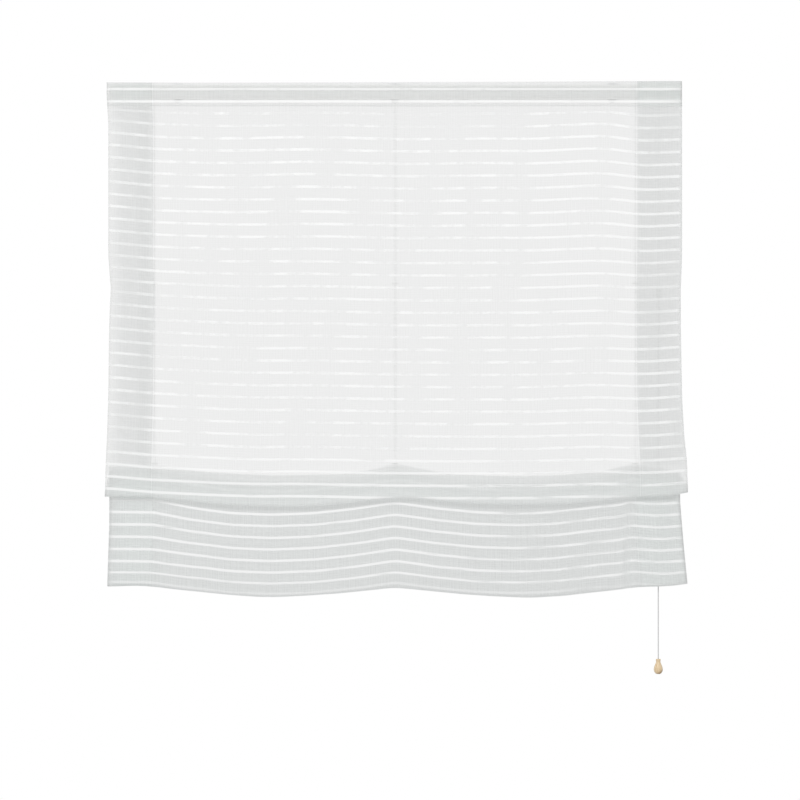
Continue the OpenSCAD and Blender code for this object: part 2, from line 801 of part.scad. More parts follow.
module cord_joiner() {
  outer = joiner_bore_r + joiner_wall;
  foot_r = joiner_hole_r + joiner_wall;
  bottom = joiner_floor - 2 * joiner_wall;
  chamfer = 1;
  color("white")
    translate([lock_x, joiner_y, 0])
      rotate_extrude()
        polygon([
          [joiner_mouth_r, joiner_top], [outer - chamfer, joiner_top], [outer, joiner_top - chamfer],
          [outer, joiner_floor + chamfer], [foot_r, bottom], [joiner_hole_r, bottom],
          [joiner_hole_r, joiner_floor], [joiner_bore_r, joiner_floor + joiner_wall],
          [joiner_bore_r, joiner_top - joiner_wall], [joiner_mouth_r, joiner_top - joiner_wall]
        ]);
}

// Pull cord: knotted in the joiner and in the acorn

// A smooth point between the second and third of four points in a row
function between(p, q, r, s, t) =
  0.5 * (2 * q + (r - p) * t + (2 * p - 5 * q + 4 * r - s) * t * t + (3 * q - p - 3 * r + s) * t * t * t);

module pull_cord() {
  last = len(pull_route) - 1;
  smooth = [
    for (i = [0:last - 1], k = [0:pull_steps - 1])
      between(pull_route[max(i - 1, 0)], pull_route[i], pull_route[i + 1],
        pull_route[min(i + 2, last)], k / pull_steps)
  ];
  r = pull_cord_d / 2;
  knot_r = pull_knot_d / 2;
  ball = [[-0.95, 0.3], [-0.6, 0.8], [0, 1], [0.6, 0.8]];
  foot_point = pull_route[last];
  neck = [0, 0, knot_r];
  upper_knot = [for (b = ball) -b[0] * neck];
  lower_knot = [for (i = [3:-1:0]) foot_point + ball[i][0] * neck];
  middle = concat(
    [-neck],
    [for (p = smooth) if (p[2] < -2 * knot_r && p[2] > foot_point[2] + 2 * knot_r) p],
    [foot_point + neck]
  );
  points = [for (p = concat(upper_knot, middle, lower_knot)) pull_start + p];
  radii = concat(
    [for (b = ball) b[1] * knot_r],
    [for (p = middle) r],
    [for (i = [3:-1:0]) ball[i][1] * knot_r]
  );
  color("gainsboro")
    swept_tube(points, radii);
}

// Acorn: a turned pear of wood with a bore for the cord and a pocket for its knot

module acorn() {
  belly_z = -0.7 * acorn_h;
  belly_r = acorn_d / 2;
  collar_r = collar_d / 2;
  bore_r = pull_cord_d / 2 + seat_gap;
  pocket_r = pull_knot_d / 2 + 0.8;
  round_off = 0.6;
  flank_steps = 10;
  flank = [
    for (i = [0:flank_steps])
      let (t = i / flank_steps)
      [collar_r - round_off + (belly_r - collar_r + round_off) * (1 - cos(180 * pow(t, 0.85))) / 2,
        -collar_h + (belly_z + collar_h) * t]
  ];
  stop = acos((pocket_r + 1) / belly_r);
  belly = [
    for (i = [1:8])
      let (a = stop * i / 8)
      [belly_r * cos(a), belly_z - (acorn_h + belly_z) * sin(a) / sin(stop)]
  ];
  color("burlywood")
    translate(acorn_at)
      rotate_extrude()
        translate([0, acorn_h])
          polygon(concat(
            [[bore_r, 0], [collar_r - round_off, 0], [collar_r, -round_off], [collar_r, round_off - collar_h]],
            flank,
            belly,
            [[pocket_r, -acorn_h], [pocket_r, acorn_floor - acorn_h], [bore_r, acorn_floor - acorn_h]]
          ));
}

cloth();
loop_strip();
hook_strip();
headrail();
end_cap_left();
end_cap_right();
bracket_left();
bracket_middle();
bracket_right();
cam_lever_left();
cam_lever_middle();
cam_lever_right();
guide_left();
guide_middle();
guide_right();
guide_axle_left();
guide_axle_middle();
guide_axle_right();
guide_roller_left();
guide_roller_middle();
guide_roller_right();
lock_housing();
lock_axle();
lock_wheel();
lock_roller();
ring_tape_left();
ring_tape_middle();
ring_tape_right();
rings_left();
rings_middle();
rings_right();
lift_cord_left();
lift_cord_middle();
lift_cord_right();
cord_joiner();
pull_cord();
acorn();
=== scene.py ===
"""Looks of the roman blind: sheer striped cloth in soft folds, with its headrail, cords and wooden pull.

Metres, in the part's own frame: X along the headrail, the room at -Y, the wall at y = 0, Z up.
"""

import math

import bmesh
import bpy
import numpy as np
from mathutils import Matrix, Vector


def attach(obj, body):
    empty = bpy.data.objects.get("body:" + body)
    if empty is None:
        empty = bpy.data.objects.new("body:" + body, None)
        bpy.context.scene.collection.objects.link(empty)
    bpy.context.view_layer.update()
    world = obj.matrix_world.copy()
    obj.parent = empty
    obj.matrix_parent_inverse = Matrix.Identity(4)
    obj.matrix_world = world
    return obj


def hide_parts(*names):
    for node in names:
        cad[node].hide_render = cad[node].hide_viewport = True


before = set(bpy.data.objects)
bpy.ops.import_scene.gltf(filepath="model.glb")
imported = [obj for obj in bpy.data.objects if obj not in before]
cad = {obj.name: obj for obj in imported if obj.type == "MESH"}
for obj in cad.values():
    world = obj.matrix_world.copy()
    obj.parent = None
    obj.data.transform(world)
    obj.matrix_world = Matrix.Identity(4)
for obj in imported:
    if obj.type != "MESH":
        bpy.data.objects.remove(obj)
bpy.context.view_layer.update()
scene = bpy.context.scene
MM_PER_M = 1000.0
WHITE = (1.0, 1.0, 1.0, 1.0)
SIDES = ("left", "middle", "right")
CORD_X = 0.585
COLUMN_X = {"left": -CORD_X, "middle": 0.0, "right": CORD_X}


# Camera: straight on and from far away, so that nothing converges

VIEW_WIDTH, VIEW_DISTANCE = 1.9448, 9.0
VIEW_X, VIEW_Y, VIEW_Z = 0.0122, -0.04, -0.7504
SENSOR_WIDTH = 36.0
camera_data = bpy.data.cameras.new("camera")
camera_data.sensor_width = SENSOR_WIDTH
camera_data.lens = SENSOR_WIDTH * VIEW_DISTANCE / VIEW_WIDTH
camera_data.clip_end = 60.0
camera = bpy.data.objects.new("camera", camera_data)
camera.location = (VIEW_X, VIEW_Y - VIEW_DISTANCE, VIEW_Z)
camera.rotation_euler = (math.pi / 2, 0.0, 0.0)
scene.collection.objects.link(camera)
scene.camera = camera


# Helpers for meshes

def ease(t):
    """A soft step from 0 to 1 while t goes from 0 to 1."""
    t = np.clip(t, 0.0, 1.0)
    return t * t * (3.0 - 2.0 * t)


def step(value, start, over):
    """A soft step from 0 to 1 from start on, over a length that is negative where the step runs downwards."""
    return ease((value - start) / over)


def new_object(name, mesh, body="blind"):
    ob = bpy.data.objects.new(name, mesh)
    scene.collection.objects.link(ob)
    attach(ob, body)
    return ob


def smooth(mesh):
    mesh.polygons.foreach_set("use_smooth", np.ones(len(mesh.polygons), bool))
    mesh.update()


def add_uv(mesh, name, per_vertex):
    layer = mesh.uv_layers.new(name=name)
    index = np.zeros(len(mesh.loops), np.int32)
    mesh.loops.foreach_get("vertex_index", index)
    layer.uv.foreach_set("vector", np.asarray(per_vertex, np.float32)[index].ravel())


def grid_faces(rows, columns, wrap=False):
    """Quads of a grid of vertices stored row by row."""
    j, i = np.meshgrid(np.arange(rows - 1), np.arange(columns if wrap else columns - 1), indexing="ij")
    here = j * columns + i
    right = j * columns + (i + 1) % columns
    return np.stack([here, right, right + columns, here + columns], -1).reshape(-1, 4).tolist()


def tube(name, centres, radii, sides=14):
    """A closed tube along points in a plane of constant X, with a map of (turns, metres along)."""
    sideways = np.array([1.0, 0.0, 0.0])
    along = np.gradient(centres, axis=0)
    along /= np.linalg.norm(along, axis=1)[:, None]
    across = np.cross(along, sideways)
    turns = np.arange(sides) / sides
    angle = (turns * 2 * math.pi)[None, :, None]
    ring = np.cos(angle) * sideways + np.sin(angle) * across[:, None, :]
    points = (centres[:, None, :] + radii[:, None, None] * ring).reshape(-1, 3)
    faces = grid_faces(len(centres), sides, wrap=True)
    last = (len(centres) - 1) * sides
    faces += [list(range(sides - 1, -1, -1)), list(range(last, last + sides))]
    mesh = bpy.data.meshes.new(name)
    mesh.from_pydata(points.tolist(), [], faces)
    smooth(mesh)
    length = np.concatenate([[0.0], np.cumsum(np.linalg.norm(np.diff(centres, axis=0), axis=1))])
    add_uv(mesh, "Along", np.stack([np.tile(turns, len(centres)), np.repeat(length, sides)], 1))
    return new_object(name, mesh)


# Pull cord: knotted in the joiner and in the acorn, on the part's own route

PULL_START = np.array([0.642, -0.0227, -0.4981])
PULL_ROUTE = np.array([
    (0, 0, 0), (0, 0, -20), (0, 0.3, -50), (0, 1, -90), (0, 2.2, -140), (0, 3.8, -190),
    (0, 5.5, -240), (0, 7.2, -290), (0, 8.8, -340), (0, 9.9, -385), (0, 10.4, -430), (0, 10.4, -490),
    (0, 10.4, -560), (0, 10.4, -640), (0, 10.4, -720), (0, 10.4, -800), (0, 10.4, -870), (0, 10.4, -914),
]) / MM_PER_M
CORD_POINTS, SMOOTHED_OVER = 260, 9
CORD_R, KNOT_R = 0.0013, 0.0024
# A knot from its outer end to the cord, as (place along it, thickness) in shares of its radius
KNOT = (
    (-0.97, 0.25), (-0.85, 0.53), (-0.6, 0.8), (-0.3, 0.95),
    (0.0, 1.0), (0.3, 0.95), (0.6, 0.8), (0.85, 0.62),
)


def pull_cord():
    down = np.linspace(0.0, 1.0, len(PULL_ROUTE))
    fine = np.linspace(0.0, 1.0, CORD_POINTS)
    middle = np.stack([np.interp(fine, down, PULL_ROUTE[:, k]) for k in range(3)], 1)
    padded = np.pad(middle[:, 1], SMOOTHED_OVER // 2, mode="edge")
    middle[:, 1] = np.convolve(padded, np.ones(SMOOTHED_OVER) / SMOOTHED_OVER, mode="valid")
    foot = PULL_ROUTE[-1]
    inner = middle[(middle[:, 2] < -KNOT_R) & (middle[:, 2] > foot[2] + KNOT_R)]
    upper = np.array([(0.0, 0.0, -a * KNOT_R) for a, _ in KNOT])
    lower = np.array([foot + (0.0, 0.0, a * KNOT_R) for a, _ in reversed(KNOT)])
    points = PULL_START + np.concatenate([upper, inner, lower])
    knot = [b * KNOT_R for _, b in KNOT]
    cord = tube("pull_cord_braid", points, np.array(knot + [CORD_R] * len(inner) + knot[::-1]))
    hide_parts("pull_cord")
    return cord


pull = pull_cord()


# Cloth: sizes. Depths and heights at the cords are the part's own, and the sag between the cords is finer.

TOP_Z = 0.0214
FRONT_Y, FOLD_Y = -0.0398, -0.0522
SECOND_Y, CREST_Y, THIRD_Y, FOURTH_Y = -0.0382, -0.0360, -0.0338, -0.0148
FRONT_FOLD_R, CREST_R, LOWER_FOLD_R = 0.0070, 0.0022, 0.0095
FRONT_FOLD_Z, CREST_Z, LOWER_FOLD_Z, HEM_END_Z = -0.9776, -0.9096, -1.1881, -0.9113
LEAN_FROM, LEAN_TO = 0.648, 0.928
HALF_W, HALF_BAY, SIDE_HEM = 0.700, 0.590, 0.110
HEADING, END_HEM, TURN_IN = 0.0575, 0.040, 0.012
# Distance of each layer from the front face: the cloth, the turned side hem, and the edge turned in between
FACE, HEM_FACE, INNER_FACE = 0.0004, 0.0009, 0.00065
# Depth of the heading and of the end hem, where the cloth is doubled
DOUBLED = 0.0019
# Rows of vertices down each stretch, in order from the turned heading, and whether its end rows belong to it
STRETCHES = (
    ("heading", 13, True), ("top", 6, False), ("front", 181, True), ("front_fold", 14, False),
    ("second", 15, True), ("crest", 9, False), ("third", 52, True), ("lower_fold", 16, False),
    ("fourth", 46, True), ("end", 6, False), ("end_hem", 9, True),
)
# Columns of vertices across the cloth, across a side hem and its turned-in edge, and closer ones at the pleat
MAIN_COLUMNS, HEM_COLUMNS, TURNED_COLUMNS = 151, 17, 4
CLOSE_FROM, CLOSE_TO, CLOSE_GAP, CLOSE_COLUMNS = 0.536, 0.590, 0.002, 19


# Cloth: lines measured across it, as (x, value) in millimetres

CURVE_REACH, CURVE_STEP = 0.75, 0.001
TOP_SOFT, FOLD_SOFT, CORD_SOFT, STRIPE_SOFT = 0.030, 0.014, 0.010, 0.025
# Sag below the part's own heights
TOP_SAG = [(-701, 0), (-500, 0.8), (-200, 0.3), (100, -0.4), (300, -1.2), (500, -2.6), (701, -3.4)]
FRONT_FOLD_SAG = [
    (-693, 1), (-590, 2), (-518, 9.5), (-450, 17.5), (-377, 22.5), (-292, 25), (-219, 25), (-170, 22),
    (-109, 16), (-49, 9), (0, 4.5), (41, 4), (97, 10), (163, 16.5), (236, 20), (328, 20.5), (413, 19),
    (479, 13.5), (535, 6), (583, 1.5), (649, 0), (665, -2), (680, -4.5), (690, -7.5), (720, -14),
]
CREST_SAG = [
    (-701, 7), (-585, 3), (-535, 9), (-460, 19), (-300, 27), (-130, 24), (-50, 12), (0, -2), (60, 9.5),
    (125, 22), (205, 27), (300, 28.5), (390, 27), (500, 18), (540, 8), (585, -1), (640, 9), (701, 17),
]
LOWER_FOLD_SAG = [
    (-693, 7.5), (-627, 5), (-590, 7.5), (-535, 14.5), (-474, 20.5), (-401, 28), (-328, 33), (-280, 33),
    (-207, 29), (-134, 24), (-61, 16.5), (0, 10), (41, 14), (97, 19.5), (163, 26), (236, 31), (328, 35),
    (413, 30), (479, 22), (535, 16), (583, 8.5), (649, 7), (693, 2.5), (705, -2),
]
HEM_END_SAG = [
    (-701, 10), (-585, 0), (-535, 7), (-460, 17), (-300, 25), (-130, 22), (-50, 9), (0, 0), (60, 8),
    (125, 20), (300, 27), (390, 25), (500, 16), (540, 6), (585, 0), (640, 9), (701, 17),
]
# How far the stripes stand below their even places: high and low on the flat part, and on the lower panel
STRIPES_HIGH = [
    (-701, -16.5), (-590, -4.8), (-430, -0.5), (-328, -1.2), (-231, -3.8), (-134, -2.8), (-46, 0.5),
    (63, 1.8), (158, 0), (255, -0.7), (330, 0.7), (450, -4.6), (490, -6.8), (530, -4.5), (600, 6), (701, 1.8),
]
STRIPES_LOW = [
    (-701, -21), (-590, -10.4), (-523, -7.8), (-430, -3), (-328, 0), (-231, -0.8), (-134, 1), (-46, 3),
    (63, 3.8), (158, 4.6), (255, 4), (320, 4.6), (450, 0.2), (490, -1), (530, 0), (600, 3.5), (652, 0.2),
    (701, -4),
]
STRIPES_PANEL = [
    (-701, -7), (-590, -6), (-500, 11), (-400, 24), (-300, 28), (-200, 24.4), (-100, 14), (0, -1),
    (100, 12.5), (200, 22.2), (300, 25), (390, 21.5), (490, 9.5), (540, 5), (552, 4), (566, -2), (577, -3),
    (600, 0), (640, 2.5), (665, 1.5), (690, -1), (701, -1.5),
]
# How far the left and the right edge stand out, as (height, left, right): in front of the fold and behind it
EDGES_FRONT = [
    (-990, 5, 12), (-900, 2, 9), (-830, -1, 2), (-750, -3, -2), (-570, -5, -5), (-480, -9, -5),
    (-400, -3, -2), (-80, -3, -2), (-10, 1, -2), (30, 1, -2),
]
EDGES_BEHIND = [(-1200, 0, 12), (-1110, -3, 3), (-1050, -5, -2), (-1000, -5, -6), (-900, -5, -7)]
EDGE_PULL = (0.45, 0.25)


def curve(x, keys, soften):
    """A softened line through (x, value) keys in millimetres, as metres."""
    fine = np.linspace(-CURVE_REACH, CURVE_REACH, round(2 * CURVE_REACH / CURVE_STEP) + 1)
    value = np.interp(fine, [k[0] / MM_PER_M for k in keys], [k[1] / MM_PER_M for k in keys])
    width = int(soften / CURVE_STEP)
    weight = np.exp(-0.5 * (np.arange(-3 * width, 3 * width + 1) / width) ** 2)
    value = np.convolve(np.pad(value, 3 * width, mode="edge"), weight / weight.sum(), mode="valid")
    return np.interp(x, fine, value)


def edge_shift(z, keys):
    """How far the left and right edges stand out at a height, in metres."""
    height, left, right = np.array(keys, float).T / MM_PER_M
    return np.interp(z, height, left), np.interp(z, height, right)


def moved_out(x, z, stretch, t):
    """The columns where the side edges aren't straight: those near them follow, and the middle stays."""
    in_front = float(stretch in ("heading", "top", "front", "front_fold"))
    if stretch == "second":
        in_front = 1 - t
    before, after = edge_shift(z, EDGES_FRONT), edge_shift(z, EDGES_BEHIND)
    left, right = (in_front * a + (1 - in_front) * b for a, b in zip(before, after))
    return x + step(np.abs(x), *EDGE_PULL) * np.where(x < 0, -left, right)


# Cloth: how it hangs

# Waves of the flat part: their depth, and where they begin below the top
RIPPLE_DEPTH, RIPPLE_FROM, RIPPLE_OVER = 0.0055, 0.06, 0.35
# Short and long waves, as radians to a metre across, to a metre up, and at the origin
RIPPLE_SHORT, RIPPLE_LONG = (21.0, 1.5, 0.8), (9.0, 0.9, -1.1)
# Pleat: place, lean towards the middle and half width, then where it leans and deepens, as steps in height
PLEAT_X, PLEAT_LEAN, PLEAT_W = 0.578, 0.016, 0.0055
PLEAT_LEANS = (-0.99, -0.17)
PLEAT_DEPTHS = ((-0.98, -0.03, 0.0018), (-1.06, -0.09, 0.0052))
# Depths below the top where the stripes leave their even places, and where they pass from high to low
SETTLE, PASS_ON = (0.045, 0.035), (0.15, 0.55)
# Length of cloth down to the crest, and a row of the lower panel from which its stripes are placed
CREST_END, PANEL_ROW = 1.0959, 1.216
# Share of the hidden cloth behind the front that goes round the fold
FOLD_SHARE = 0.22
# Height of the lower panel for each length of its cloth, and how much more at the left end
PANEL_TIGHT, LEFT_TIGHTER = 0.94, 0.055
# Cloth that the foot of the lower panel turns away from view, left of the right cord and more at the left end
TURNED_AWAY, LEFT_TURNED_AWAY, TURN_FROM = 0.004, 0.005, (0.86, 0.14)
LEFT_END, LEFT_OF_RIGHT_CORD = (-0.45, -0.15), (0.55, -0.10)


def ripple(x, z):
    """Slight waves of the flat part towards the room, none at the cords."""
    t = np.clip(np.abs(x) / CORD_X, 0.0, 1.0)
    free = np.sin(math.pi * t) ** 2 * (np.abs(x) < CORD_X)
    short, long = (x * across + start + up * z for across, up, start in (RIPPLE_SHORT, RIPPLE_LONG))
    wave = 0.5 + 0.5 * np.sin(short) * np.cos(long)
    return RIPPLE_DEPTH * free * wave * step(z, TOP_Z - RIPPLE_FROM, -RIPPLE_OVER)


def pleat(x, z):
    """Depth of the small upright pleat beside the right cord, on the panel below the front fold."""
    middle = PLEAT_X - PLEAT_LEAN * step(z, *PLEAT_LEANS)
    deep = sum(depth * step(z, start, over) for start, over, depth in PLEAT_DEPTHS)
    return deep * np.exp(-0.5 * ((x - middle) / PLEAT_W) ** 2)


class HangingCloth:
    """Each stretch at the share t of it: depth, height and place down the cut, for every column."""

    def __init__(self, x, behind):
        self.x = x
        self.off = behind
        self.top_z = TOP_Z - curve(x, TOP_SAG, TOP_SOFT)
        self.front_z = FRONT_FOLD_Z - curve(x, FRONT_FOLD_SAG, FOLD_SOFT)
        self.crest_z = CREST_Z - curve(x, CREST_SAG, CORD_SOFT)
        self.lower_z = LOWER_FOLD_Z - curve(x, LOWER_FOLD_SAG, FOLD_SOFT)
        self.hem_z = HEM_END_Z - curve(x, HEM_END_SAG, CORD_SOFT)
        self.high = curve(x, STRIPES_HIGH, STRIPE_SOFT)
        self.low = curve(x, STRIPES_LOW, STRIPE_SOFT)
        left_end = step(x, *LEFT_END)
        self.tight = PANEL_TIGHT + LEFT_TIGHTER * left_end
        self.turned_away = TURNED_AWAY * step(x, *LEFT_OF_RIGHT_CORD) + LEFT_TURNED_AWAY * left_end
        row_z = CREST_Z - (PANEL_ROW - CREST_END) - curve(x, STRIPES_PANEL, CORD_SOFT)
        self.front_end = TOP_Z - self.front_z - self.low
        self.crest_end = PANEL_ROW - (self.crest_z - row_z) / self.tight
        self.crest_start = self.crest_end - math.pi * CREST_R
        self.panel_end = self.crest_end + (self.crest_z - self.lower_z) / self.tight + self.turned_away
        self.fourth_start = self.panel_end + LOWER_FOLD_R * math.pi

    def flat_depth(self, z, off):
        """Depth of the flat part, which leans towards the room on its way down to the fold."""
        lean = step(z, TOP_Z - LEAN_FROM, LEAN_FROM - LEAN_TO)
        return FRONT_Y + (FOLD_Y - FRONT_Y) * lean - ripple(self.x, z) * (1 - lean) + off

    def heading(self, t):
        below_top = HEADING * (1 - t)
        z = TOP_Z - below_top + (self.top_z - TOP_Z) * t
        return self.flat_depth(z, DOUBLED - self.off), z, np.full_like(self.x, -below_top)

    def top(self, t):
        from_middle = DOUBLED / 2 - self.off
        z = self.top_z + from_middle * math.sin(math.pi * t)
        y = self.flat_depth(z, DOUBLED / 2 + from_middle * math.cos(math.pi * t))
        return y, z, np.zeros_like(self.x)

    def front(self, t):
        z = self.top_z + t * (self.front_z - self.top_z)
        depth = TOP_Z - z
        low = step(depth, *PASS_ON)
        place = depth - step(depth, *SETTLE) * (self.high * (1 - low) + self.low * low)
        return self.flat_depth(z, self.off), z, place

    def front_fold(self, t):
        a = math.pi * t
        y = FOLD_Y + FRONT_FOLD_R * (1 - math.cos(a)) + self.off * math.cos(a)
        z = self.front_z - (FRONT_FOLD_R - self.off) * math.sin(a)
        return y, z, self.front_end + (self.crest_start - self.front_end) * FOLD_SHARE * t

    def second(self, t):
        z = self.front_z + t * (self.crest_z - self.front_z)
        share = FOLD_SHARE + (1 - FOLD_SHARE) * t
        return SECOND_Y - self.off, z, self.front_end + (self.crest_start - self.front_end) * share

    def crest(self, t):
        a = math.pi * t
        y = CREST_Y - (CREST_R + self.off) * math.cos(a)
        z = self.crest_z + (CREST_R + self.off) * math.sin(a)
        return y, z, self.crest_start + CREST_R * a

    def third(self, t):
        z = self.crest_z + t * (self.lower_z - self.crest_z)
        place = self.crest_end + (self.crest_z - z) / self.tight + self.turned_away * step(t, *TURN_FROM)
        return THIRD_Y + self.off + pleat(self.x, z), z, place

    def lower_fold(self, t):
        a = math.pi * t
        y = THIRD_Y + LOWER_FOLD_R * (1 - math.cos(a)) + self.off * math.cos(a)
        y = y + pleat(self.x, self.lower_z) * (1 - t)
        z = self.lower_z - (LOWER_FOLD_R - self.off) * math.sin(a)
        return y, z, self.panel_end + LOWER_FOLD_R * a

    def fourth(self, t):
        z = self.lower_z + t * (self.hem_z - self.lower_z)
        return FOURTH_Y - self.off, z, self.fourth_start + z - self.lower_z

    def end(self, t):
        from_middle = DOUBLED / 2 - self.off
        y = FOURTH_Y - DOUBLED / 2 + from_middle * math.cos(math.pi * t)
        z = self.hem_z + from_middle * math.sin(math.pi * t)
        return y, z, self.fourth_start + self.hem_z - self.lower_z

    def end_hem(self, t):
        z = self.hem_z - END_HEM * t
        place = self.fourth_start + self.hem_z - self.lower_z + END_HEM * t
        return FOURTH_Y - (DOUBLED - self.off), z, place


# Cloth: how much of each square its threads cover

# On the flat part, on the denser panel that hangs below the fold, and where a layer ends, over a short length
OPEN_COVER, DENSE_COVER, END_COVER, END_OVER = 0.46, 0.915, 0.23, 0.04
# Turned heading, as shares of the flat part's cover: at the right hem, and on the rest
HEADING_RIGHT, HEADING_REST = 1.3, 0.6
# More at the foot of the front, more round its fold, less behind it, and more at the lower fold
FOOT_COVER, ROUND_COVER, BACK_COVER, LOWER_COVER = 0.36, 0.14, -0.40, 0.16
FOOT_AT, ROUND_AT, BACK_AT = (0.970, 0.030), (0.0, 0.3), (0.6, 0.3)
# Second layer, as shares of the flat part's cover: at its foot, in its middle and at the crest
SECOND_FOOT, SECOND_MIDDLE, SECOND_HEAD = 1.2, 1.0, 0.5
SECOND_LOW_AT, SECOND_HIGH_AT = (0.0, 0.4), (0.6, 0.4)
# The pleat gathers cloth: cover for each metre of its depth
PLEAT_COVER = 16.0
# Side hems beside the cloth, as (mm from the middle, share): thin at the outer bend and at the stitches
LEFT_HEM = [(590, 0.9), (596, 1.3), (601, 1.9), (622, 1.9), (632, 1.55), (665, 1.5), (700, 0.2)]
RIGHT_HEM = [(590, 0.5), (593, 0.8), (596, 1.7), (620, 1.65), (690, 1.5), (700, 0.6)]
TURNED_IN_SHARE = 0.3
# What is left of the side hem: at the front fold, behind it, and on the lower panel
HEM_AT_FOLD, HEM_BEHIND, HEM_ON_PANEL = 0.5, 0.2, 0.85
HEM_FADES_AT, HEM_RETURNS_AT = (0.91, 0.05), (0.05, 0.04)


def hem_cover(x, behind):
    """Share of the flat part's cover that each column has, by its layer of the side hem."""
    left, right = (np.interp(np.abs(x), [k[0] / MM_PER_M for k in keys], [k[1] for k in keys])
                   for keys in (LEFT_HEM, RIGHT_HEM))
    turned = np.where(behind == HEM_FACE, np.where(x < 0, left, right), TURNED_IN_SHARE)
    return np.where(behind == FACE, 1.0, turned)


def hem_share(stretch, t, below_crest):
    """How much of the side hem's density is left at the front fold and on the layers behind it."""
    if stretch in ("heading", "top"):
        return 1.0
    if stretch == "front":
        return 1.0 - (1.0 - HEM_AT_FOLD) * step(t, *HEM_FADES_AT)
    if stretch == "front_fold":
        return HEM_AT_FOLD
    if stretch == "second":
        return HEM_BEHIND
    return HEM_BEHIND + (HEM_ON_PANEL - HEM_BEHIND) * step(below_crest, *HEM_RETURNS_AT)


def row_cover(stretch, t, x, below_crest, below_end):
    """Cover of the single cloth: dense at the foot of the front fold and thin where layers end."""
    if stretch == "heading":
        return OPEN_COVER * np.where(x > HALF_BAY, HEADING_RIGHT, HEADING_REST)
    if stretch == "top":
        return OPEN_COVER
    if stretch == "front":
        return OPEN_COVER + FOOT_COVER * step(t, *FOOT_AT)
    if stretch == "front_fold":
        return OPEN_COVER + FOOT_COVER + ROUND_COVER * step(t, *ROUND_AT) + BACK_COVER * step(t, *BACK_AT)
    if stretch == "second":
        share = SECOND_FOOT + (SECOND_MIDDLE - SECOND_FOOT) * step(t, *SECOND_LOW_AT)
        return OPEN_COVER * (share + (SECOND_HEAD - SECOND_MIDDLE) * step(t, *SECOND_HIGH_AT))
    if stretch == "third":
        return END_COVER + (DENSE_COVER - END_COVER) * ease(below_crest / END_OVER)
    if stretch == "fourth":
        return END_COVER + (DENSE_COVER - END_COVER) * ease(below_end / END_OVER)
    if stretch == "lower_fold":
        return DENSE_COVER + LOWER_COVER * math.sin(math.pi * t)
    return END_COVER


def thread_cover(hang, z, stretch, t):
    """Cover of one row, with its side hems and what the pleat gathers."""
    below_crest, below_end = hang.crest_z - z, hang.hem_z - z
    thin = np.where(hang.off == FACE, 1.0, hem_share(stretch, t, below_crest))
    cover = hem_cover(hang.x, hang.off) * thin * row_cover(stretch, t, hang.x, below_crest, below_end)
    if stretch == "third":
        cover = cover + PLEAT_COVER * pleat(hang.x, z)
    return cover


# Cloth: how strongly its stripes show

# On the heading, behind the front fold, and at the foot of the lower panel
HEADING_STRIPES, HIDDEN_STRIPES, FOOT_STRIPES = 0.4, 0.15, 0.5
HIDDEN_PAST, FOOT_STRIPES_AT = 0.3, (0.90, 0.06)
# What the lower panel's stripes lose: for each metre of the pleat's depth, and at the outer edges
LOST_IN_PLEAT, LOST_AT_EDGE, LOST_FROM = 75.0, 0.55, (0.688, 0.008)


def stripe_strength(x, z, stretch, t):
    """Share of the stripes' full strength along one row."""
    strength = np.ones_like(x)
    if stretch == "heading":
        strength *= HEADING_STRIPES
    elif stretch == "second" or (stretch == "front_fold" and t > HIDDEN_PAST):
        strength *= HIDDEN_STRIPES
    elif stretch == "lower_fold":
        strength *= FOOT_STRIPES
    elif stretch == "third":
        strength -= (1.0 - FOOT_STRIPES) * step(t, *FOOT_STRIPES_AT)
        strength -= LOST_IN_PLEAT * pleat(x, z) + LOST_AT_EDGE * step(np.abs(x), *LOST_FROM)
    return np.maximum(strength, 0.0)


# Cloth: the sheet

BAKE_MARGIN = 0.002


def stations():
    """Rows down the cloth as (stretch, share of it), from the turned heading's edge to the end hem's."""
    rows = []
    for stretch, count, whole in STRETCHES:
        shares = np.linspace(0, 1, count)
        rows += [(stretch, t) for t in (shares if whole else shares[1:-1])]
    return rows


def columns():
    """Columns across the cloth as (x at rest, place along the cut, distance behind the front face)."""
    main = np.linspace(-HALF_W, HALF_W, MAIN_COLUMNS)
    close = np.linspace(CLOSE_FROM, CLOSE_TO, CLOSE_COLUMNS)
    main = np.concatenate([main[main < CLOSE_FROM - CLOSE_GAP], close, main[main > CLOSE_TO + CLOSE_GAP]])
    hem = np.linspace(HALF_BAY, HALF_W, HEM_COLUMNS)
    turned = np.linspace(HALF_BAY + TURN_IN, HALF_BAY, TURNED_COLUMNS)
    hems = {}
    for side in (-1, 1):
        hems[side] = [(side * x, side * (2 * HALF_W - x), HEM_FACE) for x in hem[::-1]]
        hems[side] += [(side * x, side * (HALF_W + SIDE_HEM + x - HALF_BAY), INNER_FACE)
                       for x in turned[::-1]]
    return hems[-1][::-1] + [(x, x, FACE) for x in main] + hems[1]


